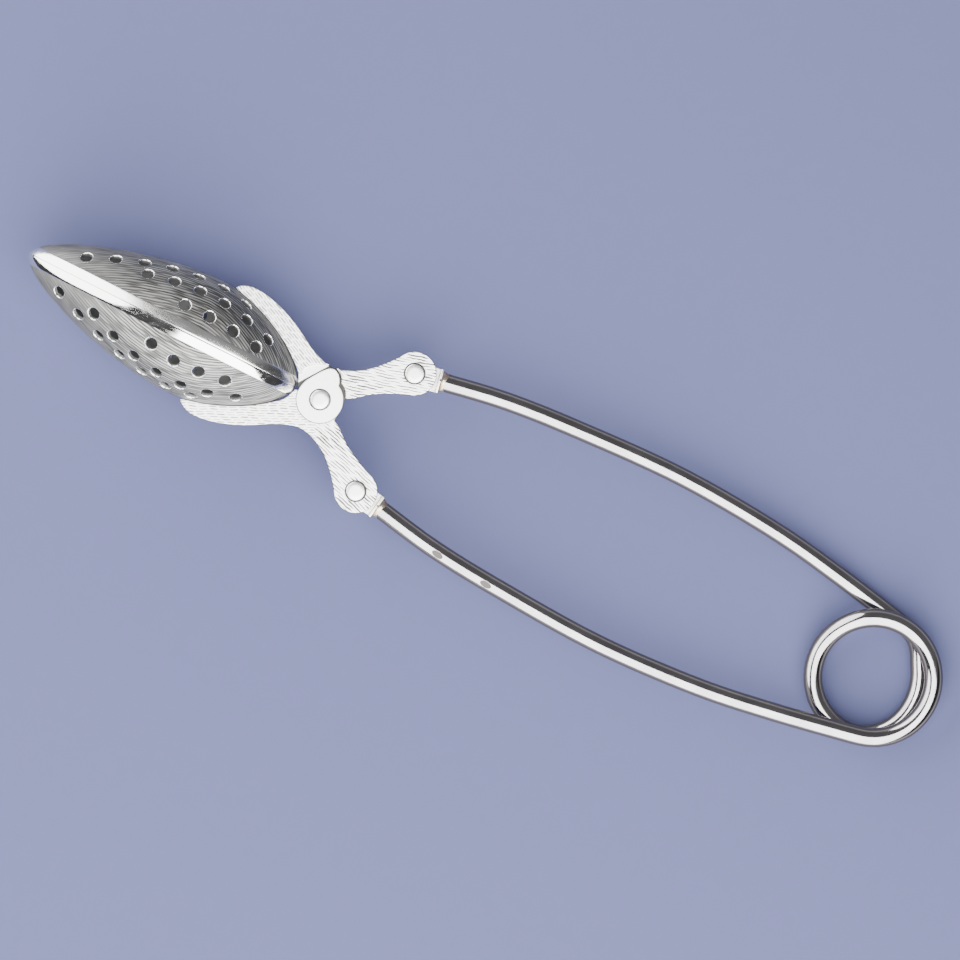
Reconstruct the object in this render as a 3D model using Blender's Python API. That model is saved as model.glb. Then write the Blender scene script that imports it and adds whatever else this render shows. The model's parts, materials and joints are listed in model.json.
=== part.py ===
"""Tea infuser tongs: two perforated half shells on riveted lever plates, opened by a sprung wire handle.

Everything is drawn in the plane of the levers: the main rivet stands on the origin along Z, +X runs
from the rivet to the coil of the handle, and the two halves of the infuser part at Y = 0. The whole
is then laid down on its belly and its coil, and moved so that the origin is under the middle of it.
Lengths are in metres.
"""

import math

import bmesh
import bpy
from mathutils import Matrix, Vector

MM = 0.001
AXIS_MARK = 10 * MM
SMOOTH_BELOW = math.radians(35)
EGG_SMOOTH_BELOW = math.radians(40)

# Gaps between pieces
SEAT_GAP = 0.3 * MM
RUNNING_GAP = 0.1 * MM

# Linkage: main rivet, two link rivets and the coil are the corners of a kite
LINK_RADIUS = 15.5 * MM
LINK_ANGLE = math.radians(42)
HANDLE_CHORD = 86.8 * MM

# Infuser egg, turned about X
TIP_X = -51.3 * MM
BELLY_X = -22.0 * MM
HEEL_X = -4.5 * MM
BELLY_RADIUS = 9.8 * MM
TIP_FULLNESS = 3.6 * MM
HEEL_FULLNESS = 4.3 * MM
FRONT_SHOULDER = 12.0 * MM
BACK_SHOULDER = 6.5 * MM
SHELL_WALL = 0.7 * MM
RIM_WIDTH = 1.5 * MM
RIM_RAISE = 0.25 * MM
RIM_CLEARED = 2.5 * RIM_WIDTH
EGG_STEPS = 11
EGG_SIDES = 36
PROFILE_STEP = 1e-4
SEARCH_STEPS = 40

# Perforations. A row is its angle off the vertical at the belly, its fan length, and its first and last X.
# It keeps that angle behind the belly, and draws in to the vertical over its fan length in front of it
HOLE_RADIUS = 1.0 * MM
HOLE_PITCH = 4.3 * MM
HOLE_SIDES = 6
DRILL_DEPTH = 4 * SHELL_WALL
UPPER_ROWS = (
    (math.radians(23), 34 * MM, -25.4 * MM, -12.0 * MM),
    (math.radians(45), 34 * MM, -32.9 * MM, -10.5 * MM),
    (math.radians(67), 32 * MM, -42.8 * MM, -16.5 * MM),
)
LOWER_ROWS = (
    (math.radians(30), 14 * MM, -29.55 * MM, -16.15 * MM),
    (math.radians(54), 25 * MM, -39.85 * MM, -13.65 * MM),
    (math.radians(67), 36 * MM, -46.35 * MM, -20.15 * MM),
)
MIDDLE_ROW = (-43.7 * MM, -22.0 * MM)

# Lever plates. The horn's start and stop are places on the egg's profile
PLATE_THICKNESS = 2.0 * MM
HUB_RADIUS = 3.7 * MM
EAR_REACH = 1.6 * MM
EAR_ANGLE = math.radians(93)
EAR_ROUNDING = math.radians(12)
EAR_WIDTH = math.radians(30)
EAR_SHARPNESS = 0.5
FULL_OPENING = math.radians(50)
LOBE_RADIUS = 3.45 * MM
LOBE_ARC = (LINK_ANGLE - 2.1, LINK_ANGLE + 2.05)
HUB_ARC = (math.radians(178.5), math.radians(374))
HORN_START = 1.13
HORN_STOP = 1.99

# Lever outline in millimetres. The arm's edges are given along and across the arm, the horn's as X and Y
INNER_EDGE = ((3.9, -0.95), (5.4, -1.25), (7.6, -1.35), (9.6, -1.7), (11.4, -2.2), (13.2, -2.75))
OUTER_EDGE = ((13.6, 3.05), (11.6, 2.75), (9.4, 2.6), (7.4, 2.75), (5.6, 3.2), (4.2, 3.75))
HORN_BACK = ((-1.2, 5.45), (-3.0, 5.95), (-5.0, 6.85), (-7.2, 8.1), (-9.6, 9.35), (-12.4, 10.4))
HORN_TIP = ((-15.2, 11.05), (-17.5, 11.1), (-19.0, 10.55), (-19.85, 9.75))

# How finely the lever's outline is drawn
EDGE_STEPS = 3
LOBE_STEPS = 18
HORN_STEPS = 18
HUB_STEPS = 40
LAP_SIDES = 72
SWING_STEPS = 25

# Rivets
SHANK_RADIUS = 0.9 * MM
HEAD_RADIUS = 1.5 * MM
TAIL_RADIUS = 2.0 * MM
HEAD_HEIGHT = 0.5 * MM
HEAD_EDGE = 0.7
HEAD_FLAT = 0.8
LOOSE_GAP = 0.45 * MM
RIVET_SIDES = 16

# Wire handle and its end fittings
WIRE_RADIUS = 1.5 * MM
COIL_RADIUS = 9.5 * MM
COIL_TIGHTENING = 2.0 * MM
TIGHTENING_SHARPNESS = 1.5
COIL_EXIT = math.radians(77)
COIL_EASING = math.radians(32)
TIGHTEST_TURN = math.radians(15)
LOOSE_AGAIN = math.radians(-90)
CLIMB_START = math.radians(-172)
CLIMB_TURN = math.radians(68)
FITTING_TILT = math.radians(10)
LEG_THICKNESS = 0.8 * MM
LEG_RADIUS = 2.6 * MM
FLANGE_THICKNESS = 0.45 * MM
FLANGE_WIDTH = 3.9 * MM
FLANGE_TOP = 1.45 * MM
FLANGE_FOOT = 0.01 * MM
FERRULE_RADIUS = 1.62 * MM
FERRULE_LENGTH = 0.8 * MM
FERRULE_PROFILE = ((0.0, 0.93), (0.2, 1.0), (0.8, 1.0), (1.0, 0.93))
FERRULE_SIDES = 14
ARM_BOW = ((38.0 * MM, 14.0 * MM), (56.0 * MM, 14.75 * MM), (73.0 * MM, 13.8 * MM), (86.0 * MM, 11.9 * MM))
ARM_FIRST_SHARE = 0.45
ARM_FIRST_RISE = 0.45 * MM
ARM_STEPS = 6
COIL_POINTS = 46
WIRE_ROUNDNESS = 3

# Resting attitude
MOST_TILT = math.radians(10)
FIRST_LAYER = math.radians(250)
TILT_SAMPLES = 50

SILVER = {
    "satin_silver": ((0.78, 0.77, 0.74), 0.34),
    "polished_silver": ((0.90, 0.89, 0.86), 0.10),
    "engraved_silver": ((0.84, 0.83, 0.79), 0.28),
    "wire_silver": ((0.80, 0.78, 0.75), 0.20),
    "solder_silver": ((0.70, 0.64, 0.56), 0.38),
}


def clear_scene():
    """Removes whatever the scene starts with."""
    for item in list(bpy.data.objects):
        bpy.data.objects.remove(item)


def finish(name):
    """The material of that name, made on first use."""
    material = bpy.data.materials.get(name)
    if material:
        return material
    colour, roughness = SILVER[name]
    material = bpy.data.materials.new(name)
    material.use_nodes = True
    shader = material.node_tree.nodes["Principled BSDF"]
    shader.inputs["Base Color"].default_value = (*colour, 1)
    shader.inputs["Metallic"].default_value = 1
    shader.inputs["Roughness"].default_value = roughness
    return material


def add_object(name, mesh, parent=None, place=Matrix.Identity(4)):
    """Links a mesh or curve as an object. Its place is given in the plane of the levers."""
    item = bpy.data.objects.new(name, mesh)
    bpy.context.scene.collection.objects.link(item)
    if parent:
        item.parent = parent
        item.matrix_local = Matrix.Translation(-parent.location) @ place
    return item


def add_axis(name, place, parent):
    """An empty on a joint's axis. Its place is given in the plane of the levers."""
    empty = bpy.data.objects.new(name, None)
    empty.empty_display_size = AXIS_MARK
    bpy.context.scene.collection.objects.link(empty)
    empty.parent = parent
    empty.location = place
    return empty


def mesh_from(bm, name):
    """Turns a bmesh into a mesh with its faces pointing out."""
    bmesh.ops.recalc_face_normals(bm, faces=bm.faces)
    mesh = bpy.data.meshes.new(name)
    bm.to_mesh(mesh)
    bm.free()
    return mesh


def add_prism(bm, outline, low, high):
    """Adds an extruded closed outline to a bmesh, from height low to height high."""
    add_lathed(bm, [[(x, y, z) for x, y in outline] for z in (low, high)])


def prism(name, outline, low, high):
    """A mesh of one extruded outline."""
    bm = bmesh.new()
    add_prism(bm, outline, low, high)
    return mesh_from(bm, name)


def add_lathed(bm, loops):
    """Adds the closed surface that runs from loop to loop of points, with a flat face at each end."""
    rings = [[bm.verts.new(point) for point in loop] for loop in loops]
    bm.faces.new(reversed(rings[0]))
    bm.faces.new(rings[-1])
    for one, two in zip(rings, rings[1:]):
        for i in range(len(one)):
            j = (i + 1) % len(one)
            bm.faces.new((one[i], one[j], two[j], two[i]))


def circle(radius, sides, centre=(0, 0)):
    """Points round a circle."""
    turns = [2 * math.pi * i / sides for i in range(sides)]
    return [(centre[0] + radius * math.cos(t), centre[1] + radius * math.sin(t)) for t in turns]


def arc(centre, radius, start, end, steps):
    """Points along an arc, from angle start to angle end."""
    turns = [start + (end - start) * i / steps for i in range(steps + 1)]
    return [(centre[0] + radius * math.cos(t), centre[1] + radius * math.sin(t)) for t in turns]


def smooth_line(points, steps):
    """A Catmull-Rom curve through the points, without its last point."""
    ends = [points[0], *points, points[-1]]
    line = []
    for a, b, c, d in zip(ends, ends[1:], ends[2:], ends[3:]):
        for i in range(steps):
            t = i / steps
            weights = (
                (-t + 2 * t**2 - t**3) / 2,
                (2 - 5 * t**2 + 3 * t**3) / 2,
                (t + 4 * t**2 - 3 * t**3) / 2,
                (t**3 - t**2) / 2,
            )
            line.append(tuple(sum(w * p[k] for w, p in zip(weights, (a, b, c, d))) for k in range(len(a))))
    return line


def cut(mesh, cutter, operation="DIFFERENCE"):
    """The mesh after an exact Boolean with a cutter mesh."""
    target = add_object("target", mesh)
    tool = add_object("tool", cutter)
    step = target.modifiers.new("cut", "BOOLEAN")
    step.operation = operation
    step.solver = "EXACT"
    step.object = tool
    graph = bpy.context.evaluated_depsgraph_get()
    result = bpy.data.meshes.new_from_object(target.evaluated_get(graph))
    result.name = mesh.name
    bpy.data.objects.remove(target)
    bpy.data.objects.remove(tool)
    return result


def dress(mesh, material, smooth_below=SMOOTH_BELOW):
    """Gives a mesh its material, and smooth shading across edges flatter than that angle."""
    mesh.materials.clear()
    mesh.materials.append(finish(material))
    mesh.shade_smooth()
    mesh.set_sharp_from_angle(angle=smooth_below)
    return mesh


# --- the infuser egg -------------------------------------------------------------------------------


def bezier(a, b, c, d, t):
    """One coordinate of a cubic Bezier curve."""
    s = 1 - t
    return a * s**3 + 3 * b * s**2 * t + 3 * c * s * t**2 + d * t**3


def egg_point(t):
    """Point of the egg's profile: (x, radius), from the tip at t = 0, by the belly at 1, to the heel at 2."""
    if t <= 1:
        x = bezier(TIP_X, TIP_X, BELLY_X - FRONT_SHOULDER, BELLY_X, t)
        return x, bezier(0, TIP_FULLNESS, BELLY_RADIUS, BELLY_RADIUS, t)
    x = bezier(BELLY_X, BELLY_X + BACK_SHOULDER, HEEL_X, HEEL_X, t - 1)
    return x, bezier(BELLY_RADIUS, BELLY_RADIUS, HEEL_FULLNESS, 0, t - 1)


def egg_normal(t):
    """Outward direction of the profile at t."""
    x0, r0 = egg_point(max(t - PROFILE_STEP, 0))
    x1, r1 = egg_point(min(t + PROFILE_STEP, 2))
    return Vector((r0 - r1, x1 - x0)).normalized()


def egg_profile(offset=0):
    """The profile moved outwards by offset, with its two ends on the axis."""
    line = []
    for i in range(2 * EGG_STEPS + 1):
        t = i / EGG_STEPS
        x, radius = egg_point(t)
        side = egg_normal(t)
        line.append((x + side.x * offset, max(radius + side.y * offset, 0)))
    line[0] = (TIP_X - offset, 0)
    line[-1] = (HEEL_X + offset, 0)
    return line


def egg_radius(x):
    """Outer radius of the egg at x."""
    low, high = 0.0, 2.0
    for _ in range(SEARCH_STEPS):
        middle = (low + high) / 2
        low, high = (middle, high) if egg_point(middle)[0] < x else (low, middle)
    return egg_point(low)[1]


def add_turned(bm, profile):
    """Adds the closed surface that a profile makes when it turns about X."""
    poles = [bm.verts.new((profile[i][0], 0, 0)) for i in (0, -1)]
    rings = []
    for x, radius in profile[1:-1]:
        rings.append([bm.verts.new((x, y, z)) for z, y in circle(radius, EGG_SIDES)])
    for i in range(EGG_SIDES):
        j = (i + 1) % EGG_SIDES
        bm.faces.new((poles[0], rings[0][i], rings[0][j]))
        bm.faces.new((poles[1], rings[-1][j], rings[-1][i]))
        for one, two in zip(rings, rings[1:]):
            bm.faces.new((one[i], two[i], two[j], one[j]))


def hollow_egg(name, outer, inner):
    """The egg as a solid wall between two offsets of its profile."""
    bm = bmesh.new()
    add_turned(bm, egg_profile(inner))
    bmesh.ops.recalc_face_normals(bm, faces=bm.faces)
    bmesh.ops.reverse_faces(bm, faces=bm.faces)
    inside = list(bm.faces)
    add_turned(bm, egg_profile(outer))
    outside = [face for face in bm.faces if face not in inside]
    bmesh.ops.recalc_face_normals(bm, faces=outside)
    mesh = bpy.data.meshes.new(name)
    bm.to_mesh(mesh)
    bm.free()
    return mesh


def slab(low, high):
    """A box around the egg, from Y = low to Y = high."""
    reach = 2 * BELLY_RADIUS
    outline = [(2 * TIP_X, low), (reach, low), (reach, high), (2 * TIP_X, high)]
    return prism("slab", outline, -reach, reach)


def spots(first, last):
    """Places a hole pitch apart, from first up to last."""
    return [first + i * HOLE_PITCH for i in range(int((last - first) / HOLE_PITCH) + 1)]


def row_angle(x, angle, fan_length):
    """Angle off the vertical of a row of holes at x."""
    return angle * (1 - (max(BELLY_X - x, 0) / fan_length) ** 2)


def perforations(rows):
    """Places of the holes, as (x, angle from +Z towards +Y). The rows underneath are half a pitch on."""
    places = [(x, math.pi / 2) for x in spots(*MIDDLE_ROW)]
    for angle, fan_length, first, last in rows:
        for x in spots(first, last):
            under = x + HOLE_PITCH / 2
            places.append((x, row_angle(x, angle, fan_length)))
            places.append((under, math.pi - row_angle(under, angle, fan_length)))
    return places


def hole_cutter(rows):
    """All the drills of one half shell, as one mesh."""
    bm = bmesh.new()
    for x, angle in perforations(rows):
        radius = egg_radius(x)
        slope = (egg_radius(x + MM) - egg_radius(x - MM)) / (2 * MM)
        out = Vector((-slope, math.sin(angle), math.cos(angle))).normalized()
        place = Vector((x, radius * math.sin(angle), radius * math.cos(angle)))
        turn = out.to_track_quat("Z", "X").to_matrix().to_4x4()
        bmesh.ops.create_cone(
            bm,
            cap_ends=True,
            segments=HOLE_SIDES,
            radius1=HOLE_RADIUS,
            radius2=HOLE_RADIUS,
            depth=DRILL_DEPTH,
            matrix=Matrix.Translation(place) @ turn,
        )
    return mesh_from(bm, "drills")


def shell_mesh(rows):
    """Half shell: the egg's wall above the rim band, perforated."""
    edge = SEAT_GAP / 2 + RIM_WIDTH + SEAT_GAP
    bowl = cut(hollow_egg("half_shell", 0, -SHELL_WALL), slab(edge, 2 * BELLY_RADIUS), "INTERSECT")
    return dress(cut(bowl, hole_cutter(rows)), "satin_silver", EGG_SMOOTH_BELOW)


def rim_mesh():
    """Rim band: a slightly thicker slice of the egg next to the seam."""
    wall = hollow_egg("rim_band", RIM_RAISE, -SHELL_WALL - RIM_RAISE / 2)
    band = cut(wall, slab(SEAT_GAP / 2, SEAT_GAP / 2 + RIM_WIDTH), "INTERSECT")
    return dress(band, "polished_silver", EGG_SMOOTH_BELOW)


# --- lever plates ----------------------------------------------------------------------------------


def wrapped(angle):
    """The angle brought between minus pi and pi."""
    return math.remainder(angle, 2 * math.pi)


def hub_radius(angle):
    """Outline of a hub disc with its stop ear, for the disc whose ear points at EAR_ANGLE.

    The ear's left flank leaves the disc as a straight tangent, and its right one is short and steep.
    """
    away = wrapped(angle - EAR_ANGLE)
    if away > 0:
        flank = math.acos(HUB_RADIUS / (HUB_RADIUS + EAR_REACH))
        return HUB_RADIUS / math.cos(max(flank - away**2 / (away + EAR_ROUNDING), 0))
    share = min(-away / EAR_WIDTH, 1)
    return HUB_RADIUS + EAR_REACH * (0.5 + 0.5 * math.cos(math.pi * share)) ** EAR_SHARPNESS


def recess_radius(angle):
    """Outline of the room in the upper lever for the lower lever's disc and ear, all through the opening."""
    swing = [FULL_OPENING * i / SWING_STEPS for i in range(SWING_STEPS + 1)]
    disc = max(hub_radius(angle - turn) for turn in swing)
    own_ear = hub_radius(-angle)
    return max(disc, own_ear) + SEAT_GAP


def in_arm_frame(along, across):
    """A point given along and across the lever's arm."""
    c, s = math.cos(LINK_ANGLE), math.sin(LINK_ANGLE)
    return (along * c - across * s) * MM, (along * s + across * c) * MM


def lever_outline():
    """Outline of the upper lever, anticlockwise from where the arm leaves the hub's near side."""
    points = smooth_line([in_arm_frame(*p) for p in INNER_EDGE], EDGE_STEPS)
    points += arc(link_place(1), LOBE_RADIUS, *LOBE_ARC, LOBE_STEPS)
    valley = [in_arm_frame(*p) for p in OUTER_EDGE] + [(x * MM, y * MM) for x, y in HORN_BACK + HORN_TIP]
    points += smooth_line(valley, EDGE_STEPS)
    for i in range(HORN_STEPS + 1):
        t = HORN_START + (HORN_STOP - HORN_START) * i / HORN_STEPS
        x, radius = egg_point(t)
        beside_rim = min(max((RIM_CLEARED - radius) / RIM_WIDTH, 0), 1)
        side = egg_normal(t) * (SEAT_GAP + beside_rim * RIM_RAISE)
        points.append((x + side.x, radius + side.y))
    for i in range(HUB_STEPS + 1):
        angle = HUB_ARC[0] + (HUB_ARC[1] - HUB_ARC[0]) * i / HUB_STEPS
        radius = hub_radius(-angle)
        points.append((radius * math.cos(angle), radius * math.sin(angle)))
    return points


def lever_mesh():
    """Lever plate: the outline, half-lapped round the hub and drilled for its two rivets."""
    half = PLATE_THICKNESS / 2
    plate = prism("lever_plate", lever_outline(), -half, half)
    turns = [2 * math.pi * i / LAP_SIDES for i in range(LAP_SIDES)]
    room = [(recess_radius(t) * math.cos(t), recess_radius(t) * math.sin(t)) for t in turns]
    plate = cut(plate, prism("lap", room, -SEAT_GAP / 2, 2 * half))
    drills = bmesh.new()
    for place in ((0, 0), link_place(1)):
        add_prism(drills, circle(SHANK_RADIUS + RUNNING_GAP, RIVET_SIDES, place), -2 * half, 2 * half)
    return dress(cut(plate, mesh_from(drills, "rivet_holes")), "engraved_silver")


# --- rivets and wire fittings ----------------------------------------------------------------------


def link_place(side):
    """Centre of a link rivet: side is 1 for the upper lever and -1 for the lower."""
    return LINK_RADIUS * math.cos(LINK_ANGLE), side * LINK_RADIUS * math.sin(LINK_ANGLE)


def coil_place():
    """Centre of the coil."""
    x, y = link_place(1)
    return x + math.sqrt(HANDLE_CHORD**2 - y**2), 0.0


def rivet_mesh(name, low, high):
    """A rivet whose grip runs from low to high, with a flat head above and a wider tail below."""
    steps = [
        (TAIL_RADIUS, low - RUNNING_GAP - HEAD_HEIGHT),
        (TAIL_RADIUS, low - RUNNING_GAP),
        (SHANK_RADIUS, low - RUNNING_GAP),
        (SHANK_RADIUS, high + RUNNING_GAP),
        (HEAD_RADIUS, high + RUNNING_GAP),
        (HEAD_RADIUS, high + RUNNING_GAP + HEAD_EDGE * HEAD_HEIGHT),
        (HEAD_FLAT * HEAD_RADIUS, high + RUNNING_GAP + HEAD_HEIGHT),
    ]
    bm = bmesh.new()
    add_lathed(bm, [[(x, y, z) for x, y in circle(radius, RIVET_SIDES)] for radius, z in steps])
    return dress(mesh_from(bm, name), "polished_silver")


def flange_reach():
    """Distance from a link rivet to the near face of its flange."""
    return LOBE_RADIUS + LOOSE_GAP


def bracket_mesh(eye_radius):
    """Link bracket at the origin, pointing along +X: a leg with the rivet's eye, and an upright flange."""
    top = -PLATE_THICKNESS / 2 - SEAT_GAP
    low = top - LEG_THICKNESS
    near, far = flange_reach(), flange_reach() + FLANGE_THICKNESS
    half = FLANGE_WIDTH / 2
    straight = math.asin(half / LEG_RADIUS)
    eye_end = arc((0, 0), LEG_RADIUS, straight, 2 * math.pi - straight, LOBE_STEPS)
    leg = prism("link_bracket", [*eye_end, (far, -half), (far, half)], low, top)
    foot = low + FLANGE_FOOT
    flange = prism("flange", [(near, -half), (far, -half), (far, half), (near, half)], foot, FLANGE_TOP)
    eye = prism("eye", circle(eye_radius, RIVET_SIDES), 2 * low, 0)
    return dress(cut(cut(leg, flange, "UNION"), eye), "satin_silver")


def ferrule_mesh():
    """Solder collar between flange and wire, along +X from the flange, with softened ends."""
    start = flange_reach() + FLANGE_THICKNESS + RUNNING_GAP
    loops = []
    for share, width in FERRULE_PROFILE:
        x = start + share * FERRULE_LENGTH
        loops.append([(x, y, z) for y, z in circle(width * FERRULE_RADIUS, FERRULE_SIDES)])
    bm = bmesh.new()
    add_lathed(bm, loops)
    return dress(mesh_from(bm, "ferrule"), "solder_silver")


def coil_height():
    """Height of a coil layer above or below the plane of the levers."""
    return WIRE_RADIUS + SEAT_GAP / 2


def coil_point(angle):
    """Centreline of the coil. The angle falls from COIL_EXIT, where the upper arm joins, by more than a turn.

    The first layer lies low and is drawn in on its right side. The wire climbs over the upper arm
    between half a turn and three quarters, and the second layer lies high.
    """
    centre_x, centre_y = coil_place()
    across = (angle - TIGHTEST_TURN) / (TIGHTEST_TURN - LOOSE_AGAIN)
    drawn_in = max(math.cos(across * math.pi / 2), 0) if angle > LOOSE_AGAIN else 0
    near_exit = min((COIL_EXIT - angle) / COIL_EASING, 1)
    radius = COIL_RADIUS - COIL_TIGHTENING * drawn_in**TIGHTENING_SHARPNESS * near_exit
    climb = min(max((CLIMB_START - angle) / CLIMB_TURN, 0), 1)
    height = coil_height() * (2 * (3 * climb**2 - 2 * climb**3) - 1)
    return centre_x + radius * math.cos(angle), centre_y + radius * math.sin(angle), height


def arm_line(side):
    """Centreline of a wire arm, from its ferrule to the coil. The upper arm ends low, the lower one high."""
    x, y = link_place(1)
    reach = flange_reach() + FLANGE_THICKNESS + FERRULE_LENGTH + 2 * RUNNING_GAP
    start = Vector((x + reach * math.cos(FITTING_TILT), y + reach * math.sin(FITTING_TILT)))
    centre_x = coil_place()[0]
    end = Vector((centre_x + COIL_RADIUS * math.cos(COIL_EXIT), COIL_RADIUS * math.sin(COIL_EXIT)))
    back = Vector((-math.sin(COIL_EXIT), math.cos(COIL_EXIT)))
    end += back * 2 * SEAT_GAP
    bow = [Vector(place) for place in ARM_BOW]
    first = start + (bow[0] - start) * ARM_FIRST_SHARE + Vector((0, ARM_FIRST_RISE))
    flat = smooth_line([tuple(p) for p in (start, first, *bow, end)], ARM_STEPS) + [tuple(end)]
    line = []
    for px, py in flat:
        share = (px - start.x) / (end.x - start.x)
        height = -side * coil_height() * (3 * share**2 - 2 * share**3)
        line.append((px, side * py, height))
    return line


def wire(name, line, parent):
    """A round wire along a line of points given in the plane of the levers."""
    curve = bpy.data.curves.new(name, "CURVE")
    curve.dimensions = "3D"
    curve.bevel_depth = WIRE_RADIUS
    curve.bevel_resolution = WIRE_ROUNDNESS
    curve.use_fill_caps = True
    curve.twist_mode = "MINIMUM"
    spline = curve.splines.new("POLY")
    spline.points.add(len(line) - 1)
    for point, place in zip(spline.points, line):
        point.co = (*place, 1)
    curve.materials.append(finish("wire_silver"))
    return add_object(name, curve, parent)


# --- resting attitude ------------------------------------------------------------------------------


def resting_tilt():
    """Angle about Y at which the rim's belly and the coil's first layer touch the same flat surface."""
    belly = [(x, -radius) for x, radius in egg_profile(RIM_RAISE)]
    turns = [COIL_EXIT - FIRST_LAYER * i / TILT_SAMPLES for i in range(TILT_SAMPLES + 1)]
    coil = [(coil_point(t)[0], coil_point(t)[2] - WIRE_RADIUS) for t in turns]

    def lowest(points, tilt):
        return min(z * math.cos(tilt) - x * math.sin(tilt) for x, z in points)

    low, high = 0.0, MOST_TILT
    for _ in range(SEARCH_STEPS):
        middle = (low + high) / 2
        low, high = (middle, high) if lowest(belly, middle) < lowest(coil, middle) else (low, middle)
    return low


def world_box(pieces):
    """Lowest and highest corner of the pieces as they stand."""
    bpy.context.view_layer.update()
    graph = bpy.context.evaluated_depsgraph_get()
    corners = []
    for piece in pieces:
        seen = piece.evaluated_get(graph)
        mesh = seen.to_mesh()
        corners += [seen.matrix_world @ vertex.co for vertex in mesh.vertices]
        seen.to_mesh_clear()
    low = Vector([min(c[k] for c in corners) for k in range(3)])
    high = Vector([max(c[k] for c in corners) for k in range(3)])
    return low, high


# --- assembly --------------------------------------------------------------------------------------


def add_half(name, side, axis, meshes):
    """The shell, rim, lever and link rivet of one half. The lower half is turned over about X."""
    shell, rim, lever, rivet = meshes
    turn = Matrix.Rotation(0 if side > 0 else math.pi, 4, "X")
    return [
        add_object(f"{name}_shell", shell, axis, turn),
        add_object(f"{name}_rim", rim, axis, turn),
        add_object(f"{name}_lever", lever, axis, turn),
        add_object(f"{name}_link_rivet", rivet, axis, Matrix.Translation((*link_place(side), 0))),
    ]


def add_fitting(name, side, eye_radius, axis):
    """The bracket and ferrule on one end of the handle wire."""
    place = Matrix.Translation((*link_place(side), 0)) @ Matrix.Rotation(side * FITTING_TILT, 4, "Z")
    return [
        add_object(f"{name}_link_bracket", bracket_mesh(eye_radius), axis, place),
        add_object(f"{name}_ferrule", ferrule_mesh(), axis, place),
    ]


def build():
    """Builds the tongs, lays them down and centres them over the origin."""
    clear_scene()
    root = add_axis("tongs", (0, 0, 0), None)
    main_pivot = add_axis("main_pivot", (0, 0, 0), root)
    lower_link = add_axis("lower_link", (*link_place(-1), 0), root)
    coil_flex = add_axis("coil_flex", (*coil_place(), 0), root)

    half = PLATE_THICKNESS / 2
    link_low = -half - SEAT_GAP - LEG_THICKNESS
    shared = (rim_mesh(), lever_mesh(), rivet_mesh("link_rivet", link_low, half))
    pieces = add_half("lower", -1, root, (shell_mesh(LOWER_ROWS), *shared))
    pieces.append(add_object("main_rivet", rivet_mesh("main_rivet", -half, half), root))
    pieces += add_half("upper", 1, main_pivot, (shell_mesh(UPPER_ROWS), *shared))

    pieces += add_fitting("lower", -1, SHANK_RADIUS + RUNNING_GAP, lower_link)
    pieces += add_fitting("upper", 1, SHANK_RADIUS + LOOSE_GAP, coil_flex)
    pieces.append(wire("lower_arm", arm_line(-1), lower_link))
    span = 2 * math.pi + 2 * COIL_EXIT
    turns = [COIL_EXIT - span * i / COIL_POINTS for i in range(COIL_POINTS + 1)]
    pieces.append(wire("coil", [coil_point(t) for t in turns], lower_link))
    pieces.append(wire("upper_arm", arm_line(1), coil_flex))

    root.rotation_euler = (0, resting_tilt(), 0)
    low, high = world_box(pieces)
    root.location = (-(low.x + high.x) / 2, -(low.y + high.y) / 2, -low.z)
    bpy.context.view_layer.update()


build()
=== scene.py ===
"""Tea infuser tongs in silver: the looks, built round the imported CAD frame.

The pieces are drawn in the plane of the levers, as the CAD is: the main rivet stands on the origin
along Z, +X runs to the coil of the handle, and the two halves of the infuser part at Y = 0. PLANE
takes that frame to the row frame. Lengths are in metres.
"""

import json
from itertools import accumulate
from math import acos, asin, atan2, cos, hypot, pi, radians, remainder, sin, sqrt, tan

import bmesh
import bpy
from mathutils import Matrix, Vector
from mathutils.geometry import delaunay_2d_cdt


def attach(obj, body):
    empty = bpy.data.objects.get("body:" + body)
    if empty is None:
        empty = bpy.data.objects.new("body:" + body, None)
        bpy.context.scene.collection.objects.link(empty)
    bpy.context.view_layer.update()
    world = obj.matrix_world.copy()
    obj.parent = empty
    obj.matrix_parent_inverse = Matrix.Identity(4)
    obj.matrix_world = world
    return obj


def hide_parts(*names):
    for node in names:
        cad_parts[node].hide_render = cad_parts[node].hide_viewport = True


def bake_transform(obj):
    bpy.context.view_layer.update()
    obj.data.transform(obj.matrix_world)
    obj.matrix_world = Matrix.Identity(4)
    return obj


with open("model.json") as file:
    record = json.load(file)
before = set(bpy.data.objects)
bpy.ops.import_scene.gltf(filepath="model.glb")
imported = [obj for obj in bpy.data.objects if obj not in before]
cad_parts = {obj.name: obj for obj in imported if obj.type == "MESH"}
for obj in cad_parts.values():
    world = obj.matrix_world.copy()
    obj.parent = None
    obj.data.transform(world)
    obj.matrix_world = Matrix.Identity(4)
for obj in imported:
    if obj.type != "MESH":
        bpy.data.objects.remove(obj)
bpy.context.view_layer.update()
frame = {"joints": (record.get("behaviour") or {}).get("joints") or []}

MM = 0.001

# --- the plane of the levers, from the joints ---

joints = {joint["name"]: joint for joint in frame["joints"]}
PIVOT = Vector(joints["main_pivot"]["pos_m"])
COIL_CENTRE = Vector(joints["coil_flex"]["pos_m"])
UP = Vector(joints["coil_flex"]["axis"]).normalized()
ALONG = (COIL_CENTRE - PIVOT).normalized()
ACROSS = UP.cross(ALONG)
PLANE = Matrix.Translation(PIVOT) @ Matrix((ALONG, ACROSS, UP)).transposed().to_4x4()
COIL_X = (COIL_CENTRE - PIVOT).length

# --- sizes, as in the CAD ---

LINK_RADIUS = 15.5 * MM
LINK_ANGLE = radians(42)

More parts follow.
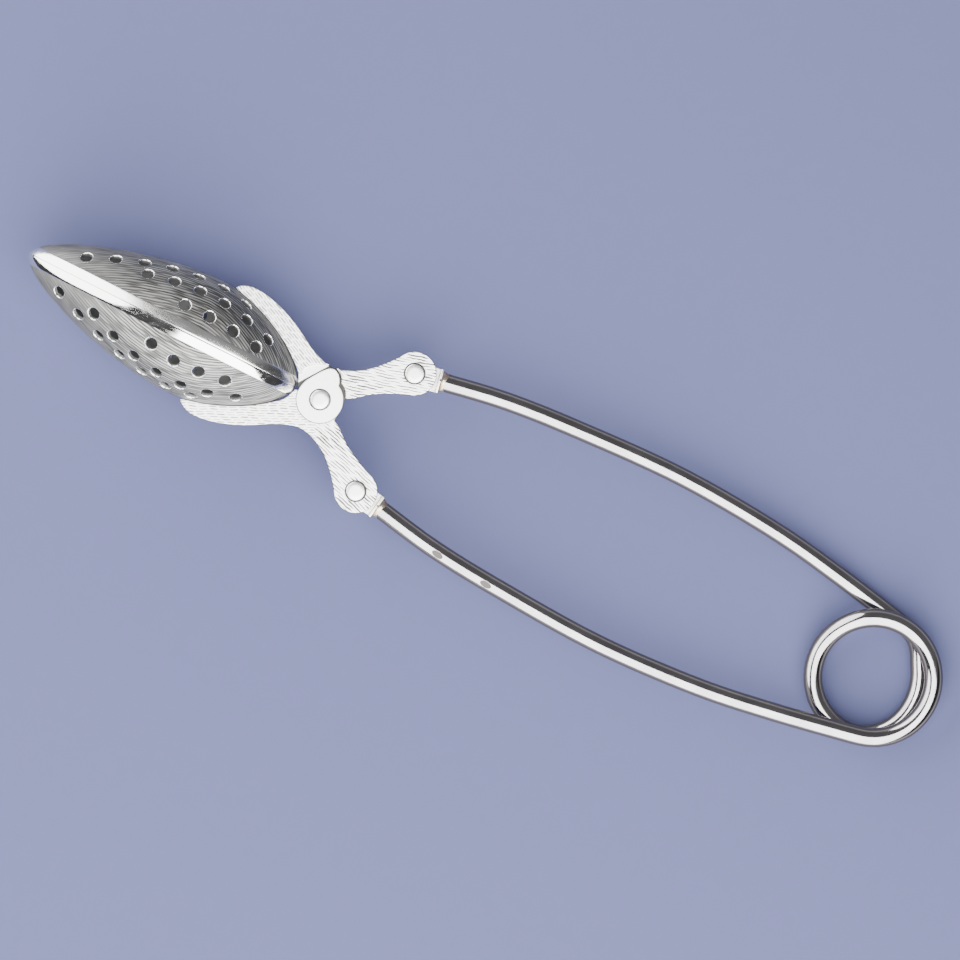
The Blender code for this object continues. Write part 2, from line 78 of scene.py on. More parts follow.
TIP_X = -51.3 * MM
BELLY_X = -22.0 * MM
HEEL_X = -4.5 * MM
BELLY_RADIUS = 9.8 * MM
TIP_FULLNESS = 3.6 * MM
HEEL_FULLNESS = 4.3 * MM
FRONT_SHOULDER = 12.0 * MM
BACK_SHOULDER = 6.5 * MM
SHELL_WALL = 0.7 * MM
RIM_RAISE = 0.25 * MM
RIM_TOP = 1.6 * MM
SEAM = 0.03 * MM

HOLE_RADIUS = 1.0 * MM
HOLE_PITCH = 4.3 * MM
# rows of holes: (angle off the vertical, length of the fan, first and last place along X)
UPPER_ROWS = (
    (radians(23), 34 * MM, -25.4 * MM, -12.0 * MM),
    (radians(45), 34 * MM, -32.9 * MM, -10.5 * MM),
    (radians(67), 32 * MM, -42.8 * MM, -16.5 * MM),
)
LOWER_ROWS = (
    (radians(30), 14 * MM, -29.55 * MM, -16.15 * MM),
    (radians(54), 25 * MM, -39.85 * MM, -13.65 * MM),
    (radians(67), 36 * MM, -46.35 * MM, -20.15 * MM),
)
MIDDLE_ROW = (-43.7 * MM, -22.0 * MM)

PLATE_HALF = 1.0 * MM
LAP_GAP = 0.1 * MM
HUB_RADIUS = 3.7 * MM
EAR_REACH = 1.6 * MM
EAR_ANGLE = radians(93)
EAR_ROUNDING = radians(12)
EAR_WIDTH = radians(30)
EAR_SHARPNESS = 0.5
FULL_OPENING = radians(50)
CRESCENT_ANGLE = radians(53)
CRESCENT_WIDTH = radians(30)
CRESCENT_DEPTH = 0.3 * MM
RECESS_GAP = 0.25 * MM
# angles between which the recess breaks out of the lever beside the heel, and how far past its own edge
BREAK_OUT = (radians(155), radians(185))
BREAK_OUT_REACH = 0.8 * MM
LOBE_RADIUS = 3.45 * MM
LOBE_ARC = (LINK_ANGLE - 2.1, LINK_ANGLE + 2.05)
HUB_ARC = (radians(177.5), radians(374))
# the stretch of the egg's profile, in t, that the horn lies along, and the gap between them
HORN_START = 1.13
HORN_STOP = 1.975
HORN_GAP = 0.02 * MM
# the egg's radius below which the horn starts to clear the rim
BESIDE_RIM = 2.5 * RIM_TOP
# outlines of the lever's free edges, in millimetres: the first two in the frame of the arm
INNER_EDGE = ((3.9, -0.95), (5.4, -1.25), (7.6, -1.35), (9.6, -1.7), (11.4, -2.2), (13.2, -2.75))
OUTER_EDGE = ((13.6, 3.05), (11.6, 2.75), (9.4, 2.6), (7.4, 2.75), (5.6, 3.2), (4.2, 3.75))
HORN_BACK = ((-1.2, 5.45), (-3.0, 5.95), (-5.0, 6.85), (-7.2, 8.1), (-9.6, 9.35), (-12.4, 10.4))
HORN_TIP = ((-15.2, 11.05), (-17.5, 11.1), (-19.0, 10.55), (-19.85, 9.75))

SHANK_RADIUS = 0.9 * MM
HEAD_RADIUS = 1.5 * MM
TAIL_RADIUS = 2.0 * MM
HEAD_HEIGHT = 0.5 * MM
HEAD_SINK = 0.3 * MM
SINK_GAP = 0.05 * MM
SINK_FLOOR_GAP = 0.03 * MM
DRILL_GAP = 0.02 * MM
TIGHT_GAP = 0.1 * MM
LOOSE_GAP = 0.45 * MM
RIVET_SIDES = 56
# the rivet's turned profile: (share of the tail's radius, millimetres below the grip)
RIVET_TAIL = ((0.35, 0.58), (0.8, 0.56), (0.89, 0.5), (0.96, 0.4), (1.0, 0.25), (1.0, 0.0))
# and (share of the head's radius, share of the head's height above the grip)
RIVET_HEAD = ((1.0, 0.6), (0.985, 0.8), (0.95, 0.94), (0.9, 1.0), (0.5, 1.02))

WIRE_RADIUS = 1.5 * MM
WIRE_SKIN = 1.49 * MM
WIRE_SIDES = 36
WIRE_ROUGH_STEP = 0.25 * MM
WIRE_ROUGH_ROUNDS = 24
WIRE_STEP = 0.45 * MM
WIRE_ROUNDS = 2
COIL_RADIUS = 9.5 * MM
COIL_TIGHTENING = 2.1 * MM
COIL_STEPS = 260
COIL_HEIGHT = WIRE_RADIUS + 0.15 * MM
COIL_EXIT = radians(77)
COIL_EASING = radians(32)
TIGHTEST_TURN = radians(15)
LOOSE_AGAIN = radians(-90)
CLIMB_START = radians(-172)
CLIMB_TURN = radians(68)
FITTING_TILT = radians(10)
LEG_THICKNESS = 0.8 * MM
LEG_RADIUS = 2.6 * MM
FLANGE_THICKNESS = 0.45 * MM
FLANGE_WIDTH = 3.9 * MM
FLANGE_TOP = 1.45 * MM
FLANGE_NEAR = LOBE_RADIUS + LOOSE_GAP
FLANGE_FAR = FLANGE_NEAR + FLANGE_THICKNESS
LEG_TOP = -PLATE_HALF - 0.06 * MM
LEG_LOW = -PLATE_HALF - 0.3 * MM - LEG_THICKNESS
FERRULE_LENGTH = 0.8 * MM
FILLET_SIDES = 48
FILLET_STEPS = 14
FILLET_SPREAD = 0.32 * MM
FILLET_SINK = 0.05 * MM
FILLET_GAP = 0.012 * MM
# the waves round a solder fillet that make it lumpy: (height, how many, phase)
FILLET_LUMPS = ((0.16, 2, 0.7), (0.1, 3, -1.1))
ARM_BOW = ((38.0 * MM, 14.0 * MM), (56.0 * MM, 14.75 * MM), (73.0 * MM, 13.8 * MM), (86.0 * MM, 11.9 * MM))
ARM_STEPS = 30
ARM_FIRST_SHARE = 0.45
ARM_FIRST_RISE = 0.45 * MM
# how far past the fillet the arm's curve starts, and how far past the flange's near face its wire does
ARM_RUN_OUT = 0.2 * MM
ARM_SINK = 0.15 * MM

# rounding of the edges of plates and brackets, and the gap below which points are welded first
SOFT_WIDTH = 0.14 * MM
SOFT_SEGMENTS = 3
SOFT_ANGLE = radians(30)
WELD_GAP = 0.002 * MM
# keeps a division off zero
TINY = 1e-12


# --- mesh helpers ---


def bezier(a, b, c, d, t):
    """One coordinate of a cubic Bezier curve."""
    s = 1 - t
    return a * s**3 + 3 * b * s**2 * t + 3 * c * s * t**2 + d * t**3


def polar(radius, angle):
    """A point given by its distance from the origin and its angle."""
    return radius * cos(angle), radius * sin(angle)


def circle(radius, sides, centre=(0, 0)):
    """Points round a circle."""
    return arc(centre, radius, 0, 2 * pi, sides)[:-1]


def arc(centre, radius, start, end, steps):
    """Points along an arc, from angle start to angle end."""
    turns = [start + (end - start) * i / steps for i in range(steps + 1)]
    return [(centre[0] + radius * cos(t), centre[1] + radius * sin(t)) for t in turns]


def eased(share):
    """A share between 0 and 1 that starts and stops gently."""
    return 3 * share**2 - 2 * share**3


def smooth_line(points, steps):
    """A Catmull-Rom curve through the points, without its last point."""
    ends = [points[0], *points, points[-1]]
    line = []
    for quad in zip(ends, ends[1:], ends[2:], ends[3:]):
        for i in range(steps):
            t = i / steps
            weights = (
                (-t + 2 * t**2 - t**3) / 2,
                (2 - 5 * t**2 + 3 * t**3) / 2,
                (t + 4 * t**2 - 3 * t**3) / 2,
                (t**3 - t**2) / 2,
            )
            line.append(tuple(sum(w * p[k] for w, p in zip(weights, quad)) for k in range(len(quad[0]))))
    return line


def mesh_from(bm, name, sharp=None):
    """Turns a bmesh into a mesh with its faces pointing out.

    Given an angle in degrees, the mesh is smooth but for the edges that turn by more than that.
    """
    bmesh.ops.recalc_face_normals(bm, faces=bm.faces)
    mesh = bpy.data.meshes.new(name)
    bm.to_mesh(mesh)
    bm.free()
    if sharp:
        mesh.shade_smooth()
        mesh.set_sharp_from_angle(angle=radians(sharp))
    return mesh


def join_rings(bm, one, two):
    """Adds the band of faces between two rings of as many vertices."""
    for i in range(len(one)):
        j = (i + 1) % len(one)
        bm.faces.new((one[i], one[j], two[j], two[i]))


def lathed(name, loops, sharp=None):
    """The closed mesh that runs from loop to loop of points, with a flat face at each end."""
    bm = bmesh.new()
    rings = [[bm.verts.new(point) for point in loop] for loop in loops]
    bm.faces.new(reversed(rings[0]))
    bm.faces.new(rings[-1])
    for one, two in zip(rings, rings[1:]):
        join_rings(bm, one, two)
    return mesh_from(bm, name, sharp)


def prism(name, outline, low, high):
    """A mesh of one extruded outline."""
    return lathed(name, [[(x, y, z) for x, y in outline] for z in (low, high)])


def link_object(name, data):
    """Links a mesh, a light or a camera as an object."""
    item = bpy.data.objects.new(name, data)
    bpy.context.scene.collection.objects.link(item)
    return item


def add_piece(name, mesh, place=Matrix.Identity(4)):
    """Links a finished mesh as a piece, its points in the row frame. place is in the plane of the levers.

    The materials read each point's place before that, in millimetres, from the attribute place_mm.
    """
    layer = mesh.attributes.new("place_mm", "FLOAT_VECTOR", "POINT")
    layer.data.foreach_set("vector", [c / MM for vertex in mesh.vertices for c in vertex.co])
    mesh.transform(PLANE @ place)
    return link_object(name, mesh)


def baked(item):
    """The object's mesh with its modifiers applied, after which the object is gone."""
    graph = bpy.context.evaluated_depsgraph_get()
    result = bpy.data.meshes.new_from_object(item.evaluated_get(graph))
    result.name = item.data.name
    bpy.data.objects.remove(item)
    return result


def cut(mesh, cutter, operation="DIFFERENCE"):
    """The mesh after an exact Boolean with a cutter mesh."""
    target = link_object("target", mesh)
    tool = link_object("tool", cutter)
    step = target.modifiers.new("cut", "BOOLEAN")
    step.operation = operation
    step.solver = "EXACT"
    step.object = tool
    result = baked(target)
    bpy.data.objects.remove(tool)
    return result


def softened(mesh):
    """The mesh with its edges rounded over."""
    item = link_object("softened", mesh)
    weld = item.modifiers.new("weld", "WELD")
    weld.merge_threshold = WELD_GAP
    step = item.modifiers.new("round", "BEVEL")
    step.width = SOFT_WIDTH
    step.segments = SOFT_SEGMENTS
    step.limit_method = "ANGLE"
    step.angle_limit = SOFT_ANGLE
    step.use_clamp_overlap = False
    item.modifiers.new("shade", "WEIGHTED_NORMAL")
    mesh.shade_smooth()
    return baked(item)


# --- the infuser egg ---


def egg_point(t):
    """Point of the egg's profile: (x, radius), from the tip at t = 0, by the belly at 1, to the heel at 2."""
    if t <= 1:
        x = bezier(TIP_X, TIP_X, BELLY_X - FRONT_SHOULDER, BELLY_X, t)
        return x, bezier(0, TIP_FULLNESS, BELLY_RADIUS, BELLY_RADIUS, t)
    x = bezier(BELLY_X, BELLY_X + BACK_SHOULDER, HEEL_X, HEEL_X, t - 1)
    return x, bezier(BELLY_RADIUS, BELLY_RADIUS, HEEL_FULLNESS, 0, t - 1)


def egg_normal(t):
    """Outward direction of the profile at t."""
    step = 1e-4
    x0, r0 = egg_point(max(t - step, 0))
    x1, r1 = egg_point(min(t + step, 2))
    return Vector((r0 - r1, x1 - x0)).normalized()


PROFILE_SAMPLES = 1200
profile_table = [egg_point(2 * i / PROFILE_SAMPLES) for i in range(PROFILE_SAMPLES + 1)]
x_table = [x for x, _ in profile_table]


def sample_at(table, value):
    """The t at which a rising table of the profile, with a value for each sample, passes that value."""
    low, high = 0, PROFILE_SAMPLES
    while high - low > 1:
        middle = (low + high) // 2
        low, high = (middle, high) if table[middle] < value else (low, middle)
    share = (value - table[low]) / max(table[high] - table[low], TINY)
    return 2 * (low + share) / PROFILE_SAMPLES


def egg_place(x):
    """The t at which the egg's profile passes x."""
    return sample_at(x_table, x)


def egg_surface(t, angle, offset=0):
    """(place, outward direction) of the egg's surface moved out by offset, at an angle from +Z towards +Y."""
    x, radius = egg_point(t)
    side = egg_normal(t)
    out = Vector((side.x, side.y * sin(angle), side.y * cos(angle)))
    place = Vector((x, radius * sin(angle), radius * cos(angle)))
    return place + out * offset, out


def spots(first, last):
    """Places a hole pitch apart, from first up to last."""
    return [first + i * HOLE_PITCH for i in range(int((last - first) / HOLE_PITCH) + 1)]


def row_angle(x, angle, fan_length):
    """Angle off the vertical of a row of holes at x."""
    return angle * (1 - (max(BELLY_X - x, 0) / fan_length) ** 2)


def perforations(rows):
    """Places of the holes, as (x, angle from +Z towards +Y). The rows underneath are half a pitch on."""
    places = [(x, pi / 2) for x in spots(*MIDDLE_ROW)]
    for angle, fan_length, first, last in rows:
        for x in spots(first, last):
            under = x + HOLE_PITCH / 2
            places.append((x, row_angle(x, angle, fan_length)))
            places.append((under, pi - row_angle(under, angle, fan_length)))
    return places


# The half shell is meshed flat, on a chart whose coordinates are the length along the profile and
# the length round the egg from the top of the half, and then wrapped on to the egg.
CHART_STEP = 0.5 * MM
BORDER_STEP = 0.7 * CHART_STEP
ROW_STEP = 0.87 * CHART_STEP
OFF_BORDER = 0.45 * CHART_STEP
OFF_HOLE = 0.45 * MM
IN_HOLE = 0.05 * MM
CHART_CLOSE = 1e-7
SHELL_EDGE = RIM_TOP - 0.1 * MM
HOLE_POINTS = 28
# the rounded mouth of a hole, in millimetres: (how much wider than the hole, height over the outer face)
HOLE_RINGS = ((0.14, 0.0), (0.06, -0.02), (0.015, -0.075), (0.0, -0.16))


steps_between = [hypot(b[0] - a[0], b[1] - a[1]) for a, b in zip(profile_table, profile_table[1:])]
length_table = list(accumulate(steps_between, initial=0.0))


def length_at(t):
    """Length along the profile up to t."""
    place = t / 2 * PROFILE_SAMPLES
    low = min(int(place), PROFILE_SAMPLES - 1)
    return length_table[low] + (length_table[low + 1] - length_table[low]) * (place - low)


def place_at(length):
    """The t at that length along the profile."""
    return sample_at(length_table, length)


def to_chart(x, angle):
    """Chart place of a point of the egg."""
    t = egg_place(x)
    return length_at(t), (pi / 2 - angle) * egg_point(t)[1]


def from_chart(s, w):
    """(t, angle) of a chart place."""
    t = place_at(s)
    return t, pi / 2 - w / max(egg_point(t)[1], TINY)


def chart_width(t):
    """Half width of the chart at t, where the shell is cut off at Y = SHELL_EDGE."""
    radius = egg_point(t)[1]
    return radius * (pi / 2 - asin(SHELL_EDGE / radius)) if radius > SHELL_EDGE else 0.0


def chart_border():
    """The chart's outline, anticlockwise."""
    inside = [i for i, (_, radius) in enumerate(profile_table) if radius > SHELL_EDGE]
    first, last = 2 * inside[0] / PROFILE_SAMPLES, 2 * inside[-1] / PROFILE_SAMPLES
    start, stop = length_at(first), length_at(last)
    steps = int((stop - start) / BORDER_STEP)
    # more points near the two ends, where the outline turns quickly
    shares = [0.5 - 0.5 * cos(pi * i / steps) for i in range(1, steps)]
    lengths = [start + (stop - start) * share for share in shares]
    lower = [(s, -chart_width(place_at(s))) for s in lengths]
    upper = [(s, chart_width(place_at(s))) for s in reversed(lengths)]
    return lower + upper


def hole_rings(x, angle):
    """(centre of a hole, its rings): each is its points (x, angle) and its height over the outer face."""
    centre, out = egg_surface(egg_place(x), angle)
    first = out.cross(Vector((0, cos(angle), -sin(angle)))).normalized()
    second = out.cross(first)
    rings = []
    for wider, height in HOLE_RINGS:
        ring = []
        for across, along in circle(1, HOLE_POINTS):
            spot = centre + (first * across + second * along) * (HOLE_RADIUS + wider * MM)
            ring.append((spot.x, atan2(spot.y, spot.z)))
        rings.append((ring, height * MM))
    return centre, rings


def chart_grid(low, high, centres):
    """Points in staggered rows over the chart between two lengths, clear of its border and of the holes."""
    grid = []
    row = 0
    s = low + CHART_STEP
    while s < high - CHART_STEP / 2:
        half = chart_width(place_at(s)) - OFF_BORDER
        across = max(int(2 * half / CHART_STEP), 1)
        for i in range(across + 1):
            w = half * (2 * (i + 0.5 * (row % 2)) / across - 1)
            if w > half:
                continue
            place = egg_surface(*from_chart(s, w))[0]
            if all((place - centre).length > HOLE_RADIUS + OFF_HOLE for centre in centres):
                grid.append(Vector((s, w)))
        s += ROW_STEP
        row += 1
    return grid


def shell_mesh(rows):
    """Half shell with round perforations, and its wall closed along every edge."""
    border = chart_border()
    holes = [hole_rings(x, angle) for x, angle in perforations(rows)]
    centres = [centre for centre, _ in holes]
    points = [Vector(p) for p in border]
    edges = [(i, (i + 1) % len(border)) for i in range(len(border))]
    hole_starts = []
    for _, rings in holes:
        start = len(points)
        hole_starts.append(start)
        points += [Vector(to_chart(*p)) for p in rings[0][0]]
        edges += [(start + i, start + (i + 1) % HOLE_POINTS) for i in range(HOLE_POINTS)]
    points += chart_grid(min(p.x for p in points), max(p.x for p in points), centres)
    made = delaunay_2d_cdt(points, edges, [], 1, CHART_CLOSE)
    flat_points, faces, originals = made[0], made[2], made[3]
    index_of = {old: new for new, olds in enumerate(originals) for old in olds}

    bm = bmesh.new()
    chart_layer = bm.loops.layers.uv.new("Chart")
    inside_layer = bm.verts.layers.float.new("inside")
    chart_of = {}
    outer, inner = [], []

    def add_vertex(t, angle, offset, chart):
        """A vertex of the shell, moved out by offset."""
        vertex = bm.verts.new(egg_surface(t, angle, offset)[0])
        vertex[inside_layer] = -offset / SHELL_WALL
        chart_of[vertex] = chart
        return vertex

    for s, w in flat_points:
        t, angle = from_chart(s, w)
        for offset, side in ((0, outer), (-SHELL_WALL, inner)):
            side.append(add_vertex(t, angle, offset, (s, w)))
    for face in faces:
        middle = sum((outer[i].co for i in face), Vector()) / len(face)
        if any((middle - centre).length < HOLE_RADIUS + IN_HOLE for centre in centres):
            continue
        bm.faces.new([outer[i] for i in face])
        bm.faces.new([inner[i] for i in reversed(face)])

    for (_, rings), start in zip(holes, hole_starts):
        ids = [index_of[start + i] for i in range(HOLE_POINTS)]
        top = [outer[i] for i in ids]
        foot = [(ring, -SHELL_WALL - height) for ring, height in reversed(rings[1:])]
        for ring, offset in rings[1:] + foot:
            lower = [add_vertex(egg_place(x), angle, offset, to_chart(x, angle)) for x, angle in ring]
            join_rings(bm, top, lower)
            top = lower
        join_rings(bm, top, [inner[i] for i in ids])
    ids = [index_of[i] for i in range(len(border))]
    join_rings(bm, [outer[i] for i in ids], [inner[i] for i in ids])
    for face in bm.faces:
        for loop in face.loops:
            s, w = chart_of[loop.vert]
            loop[chart_layer].uv = (s / MM, w / MM)
    return mesh_from(bm, "half_shell", sharp=55)


RIM_STEPS = 180
RIM_ENDS = (0.006, 1.994)
RIM_PROUD = 0.19 * MM
RIM_DEPTH = SHELL_WALL + 0.12 * MM
LEAST_INNER = 0.05 * MM
NOSE_RADIUS = 1.5 * MM
HEEL_CORNER = 0.9 * MM
# shares of the band's half width that its seam and its edge keep within where it is narrow
SEAM_SHARE = 0.3
EDGE_SHARE = 0.95
# the inside's ellipse is at least this many times as wide as the place asked of it
INNER_SHARE = 1.05
# the band's section: (share of the way from the seam to the edge, millimetres that the crown falls there)
RIM_SECTION = (
    (0.0, 0.02), (0.03, 0.0), (0.15, 0.012), (0.3, 0.031), (0.45, 0.052),
    (0.6, 0.077), (0.75, 0.106), (0.88, 0.134), (0.96, 0.17), (1.0, 0.24),
)


def round_share(y, wide):
    """Height of an ellipse at y, as a share of its full height, where its half width is wide."""
    return sqrt(max(1 - (y / wide) ** 2, 0))


def rim_reach(x):
    """Least half width of the whole band at x: a round nose at the tip, and a blunt end at the heel."""
    from_nose = max(TIP_X + NOSE_RADIUS - x, 0) / NOSE_RADIUS
    from_heel = max(x - (HEEL_X - HEEL_CORNER), 0) / HEEL_CORNER
    nose = NOSE_RADIUS * sqrt(max(1 - from_nose**2, 0))
    return min(nose, RIM_TOP * max(1 - from_heel**4, 0) ** 0.25)


def rim_mesh():
    """Rim band: half of one smooth crowned strip round the egg, whose other half is across the seam."""
    sections = []
    for i in range(RIM_STEPS + 1):
        t = RIM_ENDS[0] + (RIM_ENDS[1] - RIM_ENDS[0]) * i / RIM_STEPS
        x, radius = egg_point(t)
        side = egg_normal(t)
        wide = max(radius, rim_reach(x))
        low = min(SEAM, SEAM_SHARE * wide)
        high = min(RIM_TOP, EDGE_SHARE * wide)
        section = []
        for share, fall in RIM_SECTION:
            proud = RIM_PROUD - fall * MM
            y = low + (high - low) * share
            section.append((x + side.x * proud, y, (radius + side.y * proud) * round_share(y, wide)))
        inner = max(radius - side.y * RIM_DEPTH, LEAST_INNER)
        for y in (high, low):
            section.append((x - side.x * RIM_DEPTH, y, inner * round_share(y, max(inner, INNER_SHARE * y))))
        sections.append(section)

    bm = bmesh.new()
    rings = []
    for sign, line in ((1, sections), (-1, sections[::-1])):
        for section in line:
            rings.append([bm.verts.new((x, y, sign * z)) for x, y, z in section])
    for k, one in enumerate(rings):
        join_rings(bm, one, rings[(k + 1) % len(rings)])
    return mesh_from(bm, "rim_band", sharp=50)


# --- lever plates ---

# points along the parts of a lever's outline and of the recess in it
CURVE_STEPS = 6
LOBE_STEPS = 44
HORN_STEPS = 60
HUB_STEPS = 90
SWING_STEPS = 50
RECESS_SIDES = 180
DRILL_SIDES = 40


def wrapped(angle):
    """The angle brought between minus pi and pi."""
    return remainder(angle, 2 * pi)


def hub_radius(angle):
    """Outline of a hub disc with its stop ear, for the disc whose ear points at EAR_ANGLE.

    The ear's left flank leaves the disc as a straight tangent, and its right one is short and steep.
    """
    away = wrapped(angle - EAR_ANGLE)
    if away > 0:
        flank = acos(HUB_RADIUS / (HUB_RADIUS + EAR_REACH))
        return HUB_RADIUS / cos(max(flank - away**2 / (away + EAR_ROUNDING), 0))
    share = min(-away / EAR_WIDTH, 1)
    return HUB_RADIUS + EAR_REACH * (0.5 + 0.5 * cos(pi * share)) ** EAR_SHARPNESS


def recess_radius(angle):
    """Outline of the room cut in one lever for the other's disc and ear, all through the opening."""
    swing = [FULL_OPENING * i / SWING_STEPS for i in range(SWING_STEPS + 1)]
    disc = max(hub_radius(angle - turn) for turn in swing)
    off_crescent = min(abs(wrapped(angle - CRESCENT_ANGLE)) / CRESCENT_WIDTH, 1)
    crescent = CRESCENT_DEPTH * cos(off_crescent * pi / 2)
    return max(disc, hub_radius(-angle)) + RECESS_GAP + crescent


def in_arm_frame(along, across):
    """A point given in millimetres along and across the lever's arm."""
    c, s = cos(LINK_ANGLE), sin(LINK_ANGLE)
    return (along * c - across * s) * MM, (along * s + across * c) * MM


def link_place(side):
    """Centre of a link rivet: side is 1 for the upper lever and -1 for the lower."""
    return LINK_RADIUS * cos(LINK_ANGLE), side * LINK_RADIUS * sin(LINK_ANGLE)


def lever_outline():
    """Outline of the upper lever, anticlockwise from where the arm leaves the hub's near side."""
    points = smooth_line([in_arm_frame(*p) for p in INNER_EDGE], CURVE_STEPS)
    points += arc(link_place(1), LOBE_RADIUS, *LOBE_ARC, LOBE_STEPS)
    valley = [in_arm_frame(*p) for p in OUTER_EDGE] + [(x * MM, y * MM) for x, y in HORN_BACK + HORN_TIP]
    points += smooth_line(valley, CURVE_STEPS)
    for i in range(HORN_STEPS + 1):
        t = HORN_START + (HORN_STOP - HORN_START) * i / HORN_STEPS
        x, radius = egg_point(t)
        beside_rim = min(max((BESIDE_RIM - radius) / RIM_TOP, 0), 1)
        side = egg_normal(t) * (HORN_GAP + beside_rim * RIM_RAISE)
        points.append((x + side.x, radius + side.y))
    for i in range(HUB_STEPS + 1):
        angle = HUB_ARC[0] + (HUB_ARC[1] - HUB_ARC[0]) * i / HUB_STEPS
        points.append(polar(hub_radius(-angle), angle))
    return points


def lever_mesh():
    """Lever plate: the outline, half-lapped round the hub and drilled for its rivets, with softened edges."""
    plate = prism("lever_plate", lever_outline(), -PLATE_HALF, PLATE_HALF)
    room = []
    for i in range(RECESS_SIDES):
        turn = 2 * pi * i / RECESS_SIDES
        reach = recess_radius(turn) + (BREAK_OUT_REACH if BREAK_OUT[0] < turn < BREAK_OUT[1] else 0)
        room.append(polar(reach, turn))
    plate = cut(plate, prism("lap", room, -LAP_GAP / 2, 2 * PLATE_HALF))
    for place in ((0, 0), link_place(1)):
        bore = circle(SHANK_RADIUS + DRILL_GAP, DRILL_SIDES, place)
        plate = cut(plate, prism("drill", bore, -2 * PLATE_HALF, 2 * PLATE_HALF))
    sunk = PLATE_HALF - HEAD_SINK - SINK_FLOOR_GAP
    for place, side in (((0, 0), -1), (link_place(1), -1), (link_place(1), 1)):
        seat = circle(HEAD_RADIUS + SINK_GAP, RIVET_SIDES, place)
        plate = cut(plate, prism("seat", seat, *sorted((side * sunk, side * 2 * PLATE_HALF))))
    return softened(plate)


# --- rivets and wire fittings ---


def rivet_mesh(name, low, high):
    """A rivet whose grip runs from low to high, with a flat head sunk in its seat and a wider tail below."""
    steps = [(share * TAIL_RADIUS, low - below * MM) for share, below in RIVET_TAIL]
    steps += [(SHANK_RADIUS, low), (SHANK_RADIUS, high - HEAD_SINK), (HEAD_RADIUS, high - HEAD_SINK)]
    steps += [(share * HEAD_RADIUS, high + above * HEAD_HEIGHT) for share, above in RIVET_HEAD]
    loops = [[(x, y, z) for x, y in circle(radius, RIVET_SIDES)] for radius, z in steps]
    return lathed(name, loops, sharp=50)


def bracket_mesh(eye_radius):
    """Link bracket at the origin, pointing along +X: a leg with the rivet's eye, and an upright flange."""
    half = FLANGE_WIDTH / 2
    straight = asin(half / LEG_RADIUS)
    eye_end = arc((0, 0), LEG_RADIUS, straight, 2 * pi - straight, DRILL_SIDES)
    inside_flange = (FLANGE_NEAR + FLANGE_FAR) / 2
    leg = prism("link_bracket", [*eye_end, (inside_flange, -half), (inside_flange, half)], LEG_LOW, LEG_TOP)
    outline = [(FLANGE_NEAR, -half), (FLANGE_FAR, -half), (FLANGE_FAR, half), (FLANGE_NEAR, half)]
    flange = prism("flange", outline, LEG_LOW, FLANGE_TOP)
    eye = prism("eye", circle(eye_radius, DRILL_SIDES), 2 * LEG_LOW, 0)
    return softened(cut(cut(leg, flange, "UNION"), eye))


def ferrule_mesh():
    """Solder fillet between flange and wire, along +X from the flange: short, lumpy, drawn in to the wire."""
    start = FLANGE_FAR - FILLET_SINK
    loops = []
    for k in range(FILLET_STEPS + 1):
        share = k / FILLET_STEPS
        loop = []
        for y, z in circle(1, FILLET_SIDES):
            turn = atan2(z, y)
            lump = sum(height * sin(count * turn + phase) for height, count, phase in FILLET_LUMPS)
            radius = WIRE_SKIN + FILLET_GAP + FILLET_SPREAD * (1 - share) ** 2 * (1 + lump)
            x = start + FERRULE_LENGTH * share * (1 + lump)
            loop.append((x, y * radius, z * radius))
        loops.append(loop)
    return lathed("solder_fillet", loops, sharp=60)


def coil_point(angle):
    """Centreline of the coil. The angle falls from COIL_EXIT, at the upper arm, by more than a turn."""
    across = (angle - TIGHTEST_TURN) / (TIGHTEST_TURN - LOOSE_AGAIN)
    drawn_in = max(cos(across * pi / 2), 0) if angle > LOOSE_AGAIN else 0
    near_exit = min((COIL_EXIT - angle) / COIL_EASING, 1)
    radius = COIL_RADIUS - COIL_TIGHTENING * drawn_in**1.5 * near_exit
    climb = min(max((CLIMB_START - angle) / CLIMB_TURN, 0), 1)
    x, y = polar(radius, angle)
    return Vector((COIL_X + x, y, COIL_HEIGHT * (2 * eased(climb) - 1)))


def arm_line(side):
    """Centreline of a wire arm, from inside its solder fillet to the coil."""
    rivet = Vector(link_place(1))
    tilt = Vector(polar(1, FITTING_TILT))
    start = rivet + tilt * (FLANGE_FAR + FERRULE_LENGTH + ARM_RUN_OUT)
    exit_x, exit_y = polar(COIL_RADIUS, COIL_EXIT)
    end = Vector((COIL_X + exit_x, exit_y))
    bow = [Vector(place) for place in ARM_BOW]
    first = start + (bow[0] - start) * ARM_FIRST_SHARE + Vector((0, ARM_FIRST_RISE))
    guide = [tuple(p) for p in (start, first, *bow, end)]
    line = [Vector((*(rivet + tilt * (FLANGE_NEAR + ARM_SINK)), 0))]
    line[0].y *= side
    for x, y in smooth_line(guide, ARM_STEPS):
        share = (x - start.x) / (end.x - start.x)
        line.append(Vector((x, side * y, -side * COIL_HEIGHT * eased(share))))
    return line


def relaxed(line, rounds):
    """The line with its points drawn towards their neighbours' middle, its ends kept."""
    for _ in range(rounds):
        inner = [(a + 2 * b + c) / 4 for a, b, c in zip(line, line[1:], line[2:])]
        line = [line[0], *inner, line[-1]]
    return line


def evenly(line, step):
    """The line with points a step apart."""
    lengths = list(accumulate(((b - a).length for a, b in zip(line, line[1:])), initial=0.0))
    count = int(lengths[-1] / step)
    made, k = [], 0
    for i in range(count + 1):
        length = lengths[-1] * i / count
        while k < len(line) - 2 and lengths[k + 1] < length:
            k += 1
        share = (length - lengths[k]) / max(lengths[k + 1] - lengths[k], TINY)
        made.append(line[k].lerp(line[k + 1], min(share, 1)))
    return made


